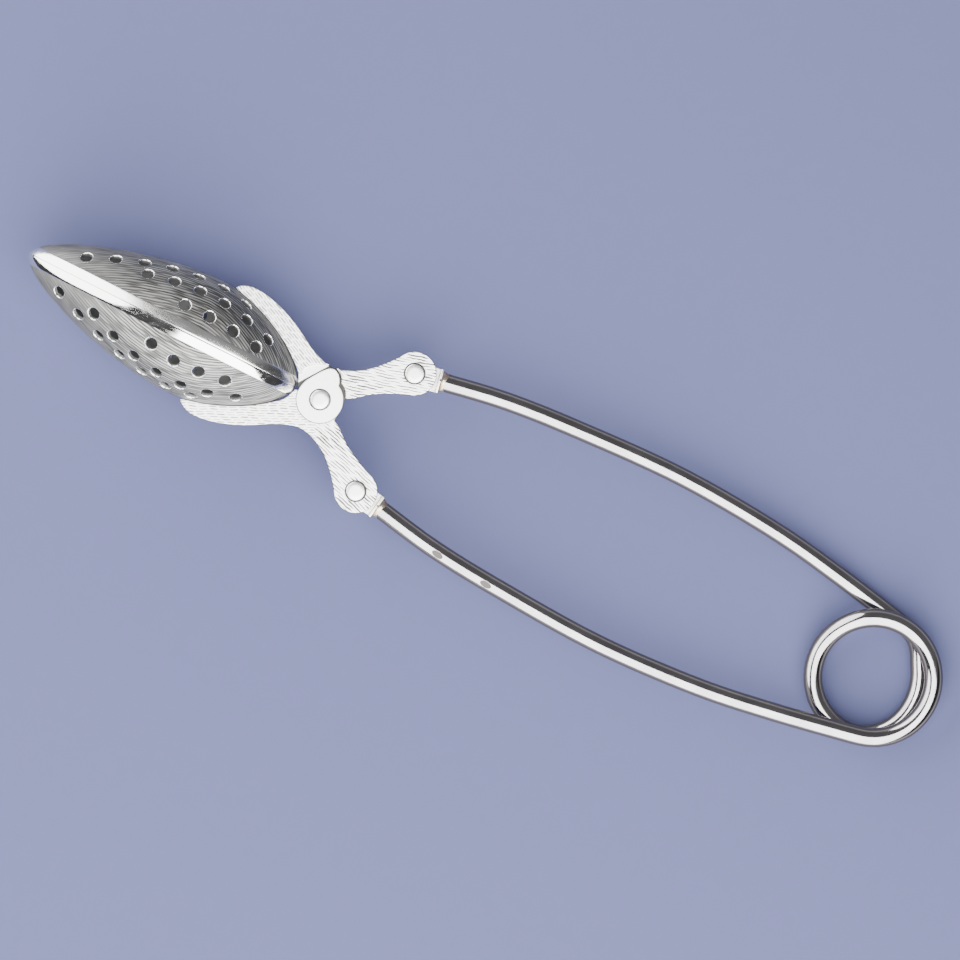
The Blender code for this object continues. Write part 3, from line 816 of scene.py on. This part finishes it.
def wire_line():
    """Centreline of the whole spring: upper arm, coil, lower arm."""
    span = 2 * pi + 2 * COIL_EXIT
    coil = [coil_point(COIL_EXIT - span * i / COIL_STEPS) for i in range(COIL_STEPS + 1)]
    line = arm_line(1) + coil + list(reversed(arm_line(-1)))
    # the joins between the three are drawn smooth at a fine step, and then the line is thinned out
    line = relaxed(evenly(line, WIRE_ROUGH_STEP), WIRE_ROUGH_ROUNDS)
    return relaxed(evenly(line, WIRE_STEP), WIRE_ROUNDS)


def wire_mesh():
    """The spring wire as one tube, with a UV map of the length along it and the length round it."""
    line = wire_line()
    bm = bmesh.new()
    layer = bm.loops.layers.uv.new("Wire")
    rings = []
    for i, place in enumerate(line):
        forward = (line[min(i + 1, len(line) - 1)] - line[max(i - 1, 0)]).normalized()
        side = forward.cross(Vector((0, 0, 1))).normalized()
        top = side.cross(forward)
        rings.append([bm.verts.new(place + side * y + top * z) for y, z in circle(WIRE_SKIN, WIRE_SIDES)])
    length = 0.0
    for i, (one, two) in enumerate(zip(rings, rings[1:])):
        step = (line[i + 1] - line[i]).length
        along = [length, length, length + step, length + step]
        for k in range(WIRE_SIDES):
            m = (k + 1) % WIRE_SIDES
            face = bm.faces.new((one[k], one[m], two[m], two[k]))
            for loop, turn, far in zip(face.loops, (k, k + 1, k + 1, k), along):
                loop[layer].uv = (far / MM, 2 * pi * turn / WIRE_SIDES * WIRE_RADIUS / MM)
        length += step
    bm.faces.new(reversed(rings[0]))
    bm.faces.new(rings[-1])
    return mesh_from(bm, "spring_wire", sharp=60)


# --- materials ---


# width in millimetres over which an engraved stroke fades into the surface
STROKE_EDGE = 0.05
BLACK = (0, 0, 0)


class Nodes:
    """A short way to write a material's nodes."""

    def __init__(self, name):
        self.material = bpy.data.materials.new(name)
        self.material.use_nodes = True
        self.tree = self.material.node_tree
        self.shader = self.tree.nodes["Principled BSDF"]
        self.shader.inputs["Metallic"].default_value = 1

    def add(self, kind, inputs=(), **settings):
        """A node of that kind, with settings and inputs: a value, or the output socket of another node."""
        node = self.tree.nodes.new("ShaderNode" + kind)
        for key, value in settings.items():
            setattr(node, key, value)
        for key, value in dict(inputs).items():
            self.put(node.inputs[key], value)
        return node

    def put(self, socket, value):
        """Links or sets a socket."""
        if isinstance(value, bpy.types.NodeSocket):
            self.tree.links.new(value, socket)
        else:
            socket.default_value = value

    def math(self, operation, a, b=0.0, c=0.0, clamp=False):
        """Output of a Math node."""
        node = self.add("Math", {0: a, 1: b, 2: c}, operation=operation, use_clamp=clamp)
        return node.outputs[0]

    def times(self, a, b):
        """One value times another."""
        return self.math("MULTIPLY", a, b)

    def minus(self, a, b):
        """One value less another."""
        return self.math("SUBTRACT", a, b)

    def largest(self, *values):
        """The largest of two or more values."""
        most = values[0]
        for value in values[1:]:
            most = self.math("MAXIMUM", most, value)
        return most

    def distance(self, value, middle):
        """How far a value is from its middle, either way."""
        return self.math("ABSOLUTE", self.minus(value, middle))

    def axes(self, vector):
        """The three coordinates of a vector."""
        return self.add("SeparateXYZ", {0: vector}).outputs

    def stretched(self, vector, scale, turn=0.0):
        """A vector turned about Z and then scaled."""
        turned = self.add("Mapping", {"Vector": vector, "Rotation": (0, 0, turn)})
        return self.add("Mapping", {"Vector": turned.outputs[0], "Scale": scale}).outputs[0]

    def noise(self, vector, scale=1.0, detail=2.0, roughness=0.5):
        """Factor of a Noise texture."""
        inputs = {"Vector": vector, "Scale": scale, "Detail": detail, "Roughness": roughness}
        return self.add("TexNoise", inputs).outputs["Fac"]

    def hatch(self, vector, turn, pitch, length, thickness, waviness=1.0):
        """Rows of tapering strokes, at the angle turn from the vector's X: 1 in a stroke and 0 elsewhere."""
        sway = self.times(self.noise(vector, 0.45, 2.0), waviness * pitch)
        axes = self.axes(self.stretched(vector, (1, 1, 1), -turn))
        row = self.math("DIVIDE", self.math("ADD", axes[1], sway), pitch)
        row_number = self.math("FLOOR", row)
        start = self.add("TexWhiteNoise", {"W": row_number}, noise_dimensions="1D").outputs["Value"]
        along = self.math("MULTIPLY_ADD", axes[0], 1 / length, self.times(start, 9.0))
        cell = self.add("CombineXYZ", {"X": row_number, "Y": self.math("FLOOR", along)}).outputs[0]
        weight = self.add("TexWhiteNoise", {"Vector": cell}, noise_dimensions="2D").outputs["Value"]
        taper = self.ramp(self.distance(self.math("FRACT", along), 0.5), 0.48, 0.25)
        width = self.math("MULTIPLY_ADD", weight, 0.5 * thickness, 0.25 * thickness)
        off_line = self.times(self.distance(self.math("FRACT", row), 0.5), pitch)
        depth = self.minus(self.times(taper, width), off_line)
        return self.math("MULTIPLY_ADD", depth, 1 / STROKE_EDGE, 0.5, clamp=True)

    def ramp(self, value, low, high, start=0.0, end=1.0):
        """The value brought from low..high to start..end, clamped and smooth."""
        inputs = {"Value": value, "From Min": low, "From Max": high, "To Min": start, "To Max": end}
        return self.add("MapRange", inputs, interpolation_type="SMOOTHSTEP").outputs[0]

    def mix(self, share, a, b):
        """Mixes two colours, each as (red, green, blue) or as another node's output."""
        node = self.add("Mix", data_type="RGBA")
        a, b = (value if isinstance(value, bpy.types.NodeSocket) else (*value, 1) for value in (a, b))
        for socket, value in zip((node.inputs[0], node.inputs[6], node.inputs[7]), (share, a, b)):
            self.put(socket, value)
        return node.outputs[2]

    def place_mm(self):
        """Each point's place in its own piece, in millimetres."""
        return self.add("Attribute", attribute_name="place_mm").outputs["Vector"]

    def finish(self, base, rough, relief, height, strength):
        """The material, with its colour, roughness and relief. The relief's height is in millimetres."""
        bump = self.add("Bump", {"Height": relief, "Distance": height * MM, "Strength": strength})
        for name, value in (("Base Color", base), ("Roughness", rough), ("Normal", bump.outputs[0])):
            self.put(self.shader.inputs[name], value)
        return self.material


def satin_silver(name, by_rim, hollow):
    """Hand-lined satin silver of a shell: long fine strokes outside, bright hole edges, and a dull inside.

    by_rim is how bright the satin is near the rim, as a share of its brightness elsewhere: painted shade
    there.
    hollow is how bright the inside is: a dull finish, set darker on the upper shell as painted shade.
    """
    n = Nodes(name)
    chart = n.add("UVMap", uv_map="Chart").outputs[0]
    from_tip, to_side, _ = n.axes(chart)
    inside = n.add("Attribute", attribute_name="inside").outputs["Fac"]
    outside = n.ramp(inside, 0.03, 0.005)
    # the lines are faint at the tip and plain to see from the belly on
    shown = n.times(outside, n.ramp(from_tip, 6.0, 26.0, 0.3, 1.0))
    dark_lines = n.times(n.hatch(chart, 0.05, 0.34, 9.0, 0.17, 0.6), shown)
    bright_lines = n.times(n.hatch(chart, -0.04, 0.47, 7.0, 0.16, 0.6), shown)
    patches = n.noise(chart, 0.35, 3.0)
    satin = n.mix(n.ramp(patches, 0.3, 0.7), (0.155, 0.153, 0.148), (0.185, 0.183, 0.178))
    lined = n.mix(bright_lines, n.mix(dark_lines, satin, (0.06, 0.06, 0.057)), (0.42, 0.417, 0.405))
    # painted shade: the satin and its strokes darken towards the rim, down to by_rim of their brightness
    shade = n.ramp(n.math("ABSOLUTE", to_side), 3.0, 9.0, 0.0, 1.0 - by_rim)
    lined = n.mix(shade, lined, BLACK)
    # the inside takes hollow's colour: a dull finish, darker on the upper shell as painted shade
    bored = n.mix(n.ramp(inside, 0.25, 0.5), (0.96, 0.955, 0.94), (hollow, hollow, 0.97 * hollow))
    bored_rough = n.ramp(inside, 0.25, 0.5, 0.12, 0.6)
    satin_rough = n.math("MULTIPLY_ADD", patches, 0.08, 0.58)
    rough = n.math("MULTIPLY_ADD", outside, n.minus(satin_rough, bored_rough), bored_rough)
    return n.finish(n.mix(outside, bored, lined), rough, n.minus(bright_lines, dark_lines), 0.02, 0.6)


def rim_silver(name, low, high):
    """Polished silver of a rim, with faint wipe marks that bring its roughness from low to high."""
    n = Nodes(name)
    place = n.place_mm()
    wear = n.noise(place, 0.5, 4.0, 0.6)
    scuffs = n.noise(n.stretched(place, (0.3, 3.0, 3.0), 0.1), 1.0, 2.0, 0.5)
    tone = n.mix(wear, (0.86, 0.85, 0.82), (0.94, 0.93, 0.91))
    return n.finish(tone, n.ramp(scuffs, 0.35, 0.75, low, high), scuffs, 0.002, 0.4)


def engraved_silver():
    """Bright-cut silver of the lever plates: hatched arms and horns, a plain hub disc, and painted shade
    round the rivets, in the recess and on the walls.
    """
    n = Nodes("engraved_silver")
    place = n.place_mm()
    x, y, z = n.axes(place)
    flat = n.add("CombineXYZ", {"X": x, "Y": y}).outputs[0]
    middle = (0, 0, 0)

    def ring_round(spot, radius, width):
        """1 on a line of that width round a spot of the plate."""
        away = n.add("VectorMath", {0: flat, 1: spot}, operation="DISTANCE").outputs["Value"]
        return n.ramp(n.distance(away, radius), 0.6 * width, 0.35 * width)

    radius = n.add("VectorMath", {0: flat}, operation="LENGTH").outputs["Value"]
    ragged = n.times(n.minus(n.noise(place, 0.9, 2.0), 0.5), 3.0)
    on_arm = n.ramp(n.math("ADD", x, ragged), 0.8, 2.4)
    arm = n.times(n.hatch(flat, radians(15), 0.43, 4.2, 0.17, 1.2), on_arm)
    horn = n.times(n.hatch(flat, radians(-25), 0.4, 1.6, 0.15), 0.75)
    lines = n.math("ADD", arm, n.times(horn, n.minus(1.0, on_arm)))
    # the strokes are on the two faces only, not on the walls between them
    height = n.math("ABSOLUTE", z)
    lines = n.times(lines, n.ramp(height, 0.86, 0.95))

    outer_face = n.ramp(z, -0.75, -0.85)
    ear = n.times(n.ramp(y, 0.2, -0.2), n.ramp(radius, 5.7, 5.5))
    hub = n.times(outer_face, n.largest(n.ramp(radius, 3.8, 3.72), ear))
    ring = n.times(ring_round(middle, HUB_RADIUS / MM + 0.06, 0.14), n.ramp(y, -0.2, 0.2))
    link = (*(c / MM for c in link_place(1)), 0)
    # painted shade: a dark ring round each rivet head's seat
    crevice = HEAD_RADIUS / MM + 0.12
    seat_shade = n.largest(ring_round(link, crevice, 0.26), n.times(outer_face, ring_round(middle, crevice, 0.26)))
    # painted shade: the recess is dark right of the ear, and in a narrow crevice along the ear's straight
    # flank
    flank = EAR_ANGLE + acos(HUB_RADIUS / (HUB_RADIUS + EAR_REACH)) + EAR_ROUNDING / 2
    off_flank = n.add("VectorMath", {0: flat, 1: (*polar(1, flank), 0)}, operation="DOT_PRODUCT")
    crevice_shade = n.largest(n.ramp(x, -0.2, 0.3), n.ramp(off_flank.outputs["Value"], 4.15, 3.95))
    recess = n.times(n.ramp(height, 0.5, 0.3), n.ramp(radius, 6.0, 5.7))
    dark = n.largest(n.times(outer_face, ring), seat_shade, n.times(recess, crevice_shade))
    # the engraved strokes and the painted shade take the same dark tone
    cuts_and_shade = n.largest(n.times(lines, n.minus(1.0, hub)), dark)

    wear = n.ramp(n.noise(place, 2.0, 5.0, 0.75), 0.3, 0.7)
    bright = n.mix(wear, (0.88, 0.875, 0.86), (0.97, 0.965, 0.955))
    # painted shade: the plate's walls and rounded edges, away from the hub, are darker
    edges = n.times(n.ramp(height, 0.985, 0.93), n.ramp(radius, 6.3, 6.8))
    bright = n.mix(edges, bright, (0.36, 0.355, 0.345))
    tone = n.mix(cuts_and_shade, bright, (0.09, 0.087, 0.08))
    return n.finish(tone, n.ramp(cuts_and_shade, 0, 1, 0.34, 0.55), n.minus(1.0, cuts_and_shade), 0.03, 0.6)


def rivet_silver():
    """Filed and buffed silver of the rivet heads."""
    n = Nodes("rivet_silver")
    place = n.place_mm()
    wear = n.noise(place, 1.6, 5.0, 0.7)
    filed = n.noise(n.stretched(place, (0.8, 7.0, 3.0), 0.5), 1.0, 3.0, 0.6)
    tone = n.mix(wear, (0.80, 0.79, 0.77), (0.95, 0.945, 0.93))
    return n.finish(tone, n.ramp(filed, 0.3, 0.7, 0.38, 0.28), filed, 0.01, 0.5)


def bracket_silver():
    """Plain filed silver of the link brackets."""
    n = Nodes("bracket_silver")
    strokes = n.noise(n.stretched(n.place_mm(), (4.0, 0.8, 3.0), 0.4), 1.0, 4.0, 0.65)
    tone = n.mix(strokes, (0.62, 0.60, 0.56), (0.92, 0.91, 0.88))
    return n.finish(tone, n.ramp(strokes, 0.3, 0.7, 0.42, 0.26), strokes, 0.02, 0.6)


# places along X of the two punch marks on the lower arm, and half their length and width, in millimetres
PUNCH_MARKS = (27.5, 36.4)
PUNCH_HALF = (0.95, 0.52)
# how far round the wire their middles are from its top, towards the outside of the handle
PUNCH_TURN = 0.3


def wire_silver():
    """Drawn silver wire, with painted shade that leaves its sides darker and browner than its top and
    underside, and two plain oval punch marks.
    """
    n = Nodes("wire_silver")
    along, around, _ = n.axes(n.add("UVMap", uv_map="Wire").outputs[0])
    round_it = n.math("DIVIDE", around, WIRE_RADIUS / MM)
    rise = n.math("SINE", round_it)
    # a circle for the direction round the wire, so that the pattern has no seam
    circling = {"X": n.times(along, 0.05), "Y": n.math("COSINE", round_it), "Z": rise}
    ring = n.add("CombineXYZ", circling).outputs[0]
    drawn = n.noise(ring, 9.0, 4.0, 0.65)
    blotches = n.noise(n.stretched(ring, (5.0, 0.7, 0.7)), 1.0, 3.0)
    buffed = n.mix(n.ramp(blotches, 0.3, 0.7), (0.31, 0.293, 0.304), (0.39, 0.37, 0.382))
    # painted shade: the sides of the wire are dark brown, away from its top and underside
    side_shade = n.ramp(n.math("ABSOLUTE", rise), 0.84, 0.6)
    tone = n.mix(side_shade, buffed, (0.042, 0.036, 0.036))

    x, y, _ = n.axes(n.place_mm())
    across = n.times(n.minus(round_it, pi / 2 + PUNCH_TURN), WIRE_RADIUS / MM / PUNCH_HALF[1])
    marks = 0.0
    for spot in PUNCH_MARKS:
        far = n.math("DIVIDE", n.minus(x, spot), PUNCH_HALF[0])
        off_spot = n.math("ADD", n.times(far, far), n.times(across, across))
        marks = n.largest(marks, n.ramp(off_spot, 1.15, 0.85))
    marks = n.times(marks, n.ramp(y, 0.0, -1.0))
    tone = n.mix(marks, tone, (0.05, 0.046, 0.044))
    tone = n.mix(n.ramp(drawn, 0.2, 0.45), n.mix(0.35, tone, BLACK), tone)
    # the painted shade also makes the sides less metallic
    n.put(n.shader.inputs["Metallic"], n.math("MULTIPLY_ADD", side_shade, -0.8, 1.0))
    relief = n.minus(n.times(drawn, 0.1), marks)
    return n.finish(tone, n.ramp(drawn, 0.3, 0.7, 0.15, 0.09), relief, 0.06, 0.6)


def solder_silver():
    """Heat-stained solder: warm, uneven and duller than the silver round it."""
    n = Nodes("solder_silver")
    place = n.place_mm()
    stain = n.noise(place, 0.9, 4.0, 0.6)
    warm = n.mix(n.ramp(stain, 0.35, 0.65), (0.42, 0.29, 0.17), (0.86, 0.75, 0.60))
    return n.finish(warm, n.ramp(stain, 0.3, 0.7, 0.44, 0.26), n.noise(place, 2.2, 3.0), 0.10, 0.7)


# --- the pieces ---


def dress(item, material, body, nodes):
    """Gives a piece its material, in its one slot, and its body, and hides the CAD nodes it stands for."""
    item.data.materials.clear()
    item.data.materials.append(material)
    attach(item, body)
    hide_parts(*nodes)


def build_halves(silver):
    """Shell, rim, lever and link rivet of each half. The lower half is the upper one turned over about X."""
    rim, lever = rim_mesh(), lever_mesh()
    slots = {"shell": "satin_silver", "rim": "polished_silver", "lever": "engraved_silver"}
    for name, side, rows in (("upper", 1, UPPER_ROWS), ("lower", -1, LOWER_ROWS)):
        meshes = {"shell": shell_mesh(rows), "rim": rim.copy(), "lever": lever.copy()}
        turn = Matrix.Rotation(0 if side > 0 else pi, 4, "X")
        at_link = Matrix.Translation((*link_place(side), 0))
        body = f"{name}_half"
        for part, mesh in meshes.items():
            item = add_piece(f"{name}_{part}_silver", mesh, turn)
            finish = slots[part] if part == "lever" else f"{name}_{part}"
            dress(item, silver[finish], body, [f"{name}_{part}"])
        rivet = add_piece(f"{name}_rivet_silver", rivet_mesh("link_rivet", LEG_LOW, PLATE_HALF), at_link)
        dress(rivet, silver["rivet_silver"], body, [f"{name}_link_rivet"])
    rivet = add_piece("main_rivet_silver", rivet_mesh("main_rivet", -PLATE_HALF, PLATE_HALF))
    dress(rivet, silver["rivet_silver"], "lower_half", ["main_rivet"])


def build_fittings(silver):
    """Bracket and solder fillet at each end of the wire."""
    for name, side, eye in (("upper", 1, SHANK_RADIUS + LOOSE_GAP), ("lower", -1, SHANK_RADIUS + TIGHT_GAP)):
        place = Matrix.Translation((*link_place(side), 0)) @ Matrix.Rotation(side * FITTING_TILT, 4, "Z")
        body = f"{name}_handle"
        bracket = add_piece(f"{name}_bracket_silver", bracket_mesh(eye), place)
        dress(bracket, silver["bracket_silver"], body, [f"{name}_link_bracket"])
        fillet = add_piece(f"{name}_solder_fillet", ferrule_mesh(), place)
        dress(fillet, silver["solder_silver"], body, [f"{name}_ferrule"])


def build_wire(silver):
    """The spring wire, which coils about the coil's centre between the two handle bodies."""
    wire = add_piece("spring_wire", wire_mesh())
    wire.data.materials.append(silver["wire_silver"])
    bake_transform(wire)
    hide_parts("lower_arm", "coil", "upper_arm")


silver = {
    "lower_shell": satin_silver("satin_silver", 1.0, 0.38),
    # the upper shell's copy carries painted shade, darker near its rim and inside
    "upper_shell": satin_silver("shaded_silver", 0.6, 0.17),
    "lower_rim": rim_silver("polished_silver", 0.07, 0.15),
    "upper_rim": rim_silver("burnished_silver", 0.18, 0.24),
    "engraved_silver": engraved_silver(),
    "rivet_silver": rivet_silver(),
    "bracket_silver": bracket_silver(),
    "wire_silver": wire_silver(),
    "solder_silver": solder_silver(),
}
build_halves(silver)
build_fittings(silver)
build_wire(silver)


# --- floor, light and camera ---

LIGHT_TARGET = Vector((10 * MM, 0, 0))
LIGHT_DISTANCE = 0.5
VIEW_CENTRE = (28.25 * MM, 0.0, 0.0)
VIEW_DISTANCE = 1262.5 * MM
VIEW_RIGHT = Vector((0.893, 0.449, 0)).normalized()
FOCAL_LENGTH = 300.0
SENSOR = 36.0
CLIP_START = 0.01
FLOOR_REACH = 6.0
WORLD_COLOUR = (0.85, 0.86, 0.92, 1)
WORLD_STRENGTH = 0.06
# (name, shape, tilt along and tilt across in degrees, width and depth in metres, power in watts)
LIGHTS = (
    ("near_side", "RECTANGLE", 24, -38, 0.62, 0.93, 21.0),
    ("tip_side", "ELLIPSE", -58.5, 14.5, 0.535, 0.92, 10.0),
    ("far_side", "RECTANGLE", 0, 47, 1.2, 0.78, 0.5),
)


def make_floor():
    """A blue-grey floor that reaches far past the view."""
    signs = ((-1, -1), (1, -1), (1, 1), (-1, 1))
    mesh = bpy.data.meshes.new("floor")
    mesh.from_pydata([(x * FLOOR_REACH, y * FLOOR_REACH, 0) for x, y in signs], [], [(0, 1, 2, 3)])
    item = link_object("floor", mesh)
    n = Nodes("floor_paper")
    for key, value in (("Metallic", 0), ("Roughness", 0.9), ("Specular IOR Level", 0.2)):
        n.shader.inputs[key].default_value = value
    grain = n.noise(n.add("TexCoord").outputs["Object"], 400, 3.0)
    n.put(n.shader.inputs["Base Color"], n.mix(grain, (0.064, 0.070, 0.144), (0.068, 0.074, 0.153)))
    mesh.materials.append(n.material)


def make_light(name, shape, tilt_along, tilt_across, width, depth, power):
    """A soft light over the tongs, tilted off the vertical by those degrees along and across them."""
    data = bpy.data.lights.new(name, "AREA")
    data.shape = shape
    data.size = width
    data.size_y = depth
    data.energy = power
    item = link_object(name, data)
    tilts = [tan(radians(tilt)) for tilt in (tilt_along, tilt_across)]
    away = Vector((*tilts, 1)).normalized()
    right = (Vector((1, 0, 0)) - away * away.x).normalized()
    turn = Matrix((right, away.cross(right), away)).transposed().to_4x4()
    item.matrix_world = PLANE @ Matrix.Translation(LIGHT_TARGET + away * LIGHT_DISTANCE) @ turn
    item.visible_camera = False


def make_world():
    """A dim studio round the lights."""
    world = bpy.data.worlds.new("studio")
    world.use_nodes = True
    background = world.node_tree.nodes["Background"]
    background.inputs["Color"].default_value = WORLD_COLOUR
    background.inputs["Strength"].default_value = WORLD_STRENGTH
    bpy.context.scene.world = world


def make_camera():
    """A camera that looks straight down on the levers, at the photograph's turn."""
    data = bpy.data.cameras.new("camera")
    data.lens = FOCAL_LENGTH
    data.sensor_width = SENSOR
    data.clip_start = CLIP_START
    item = link_object("camera", data)
    back = Vector((0, 0, 1))
    look = Matrix((VIEW_RIGHT, back.cross(VIEW_RIGHT), back)).transposed().to_4x4()
    item.matrix_world = PLANE @ Matrix.Translation(Vector(VIEW_CENTRE) + back * VIEW_DISTANCE) @ look
    bpy.context.scene.camera = item


make_floor()
for light in LIGHTS:
    make_light(*light)
make_world()
make_camera()
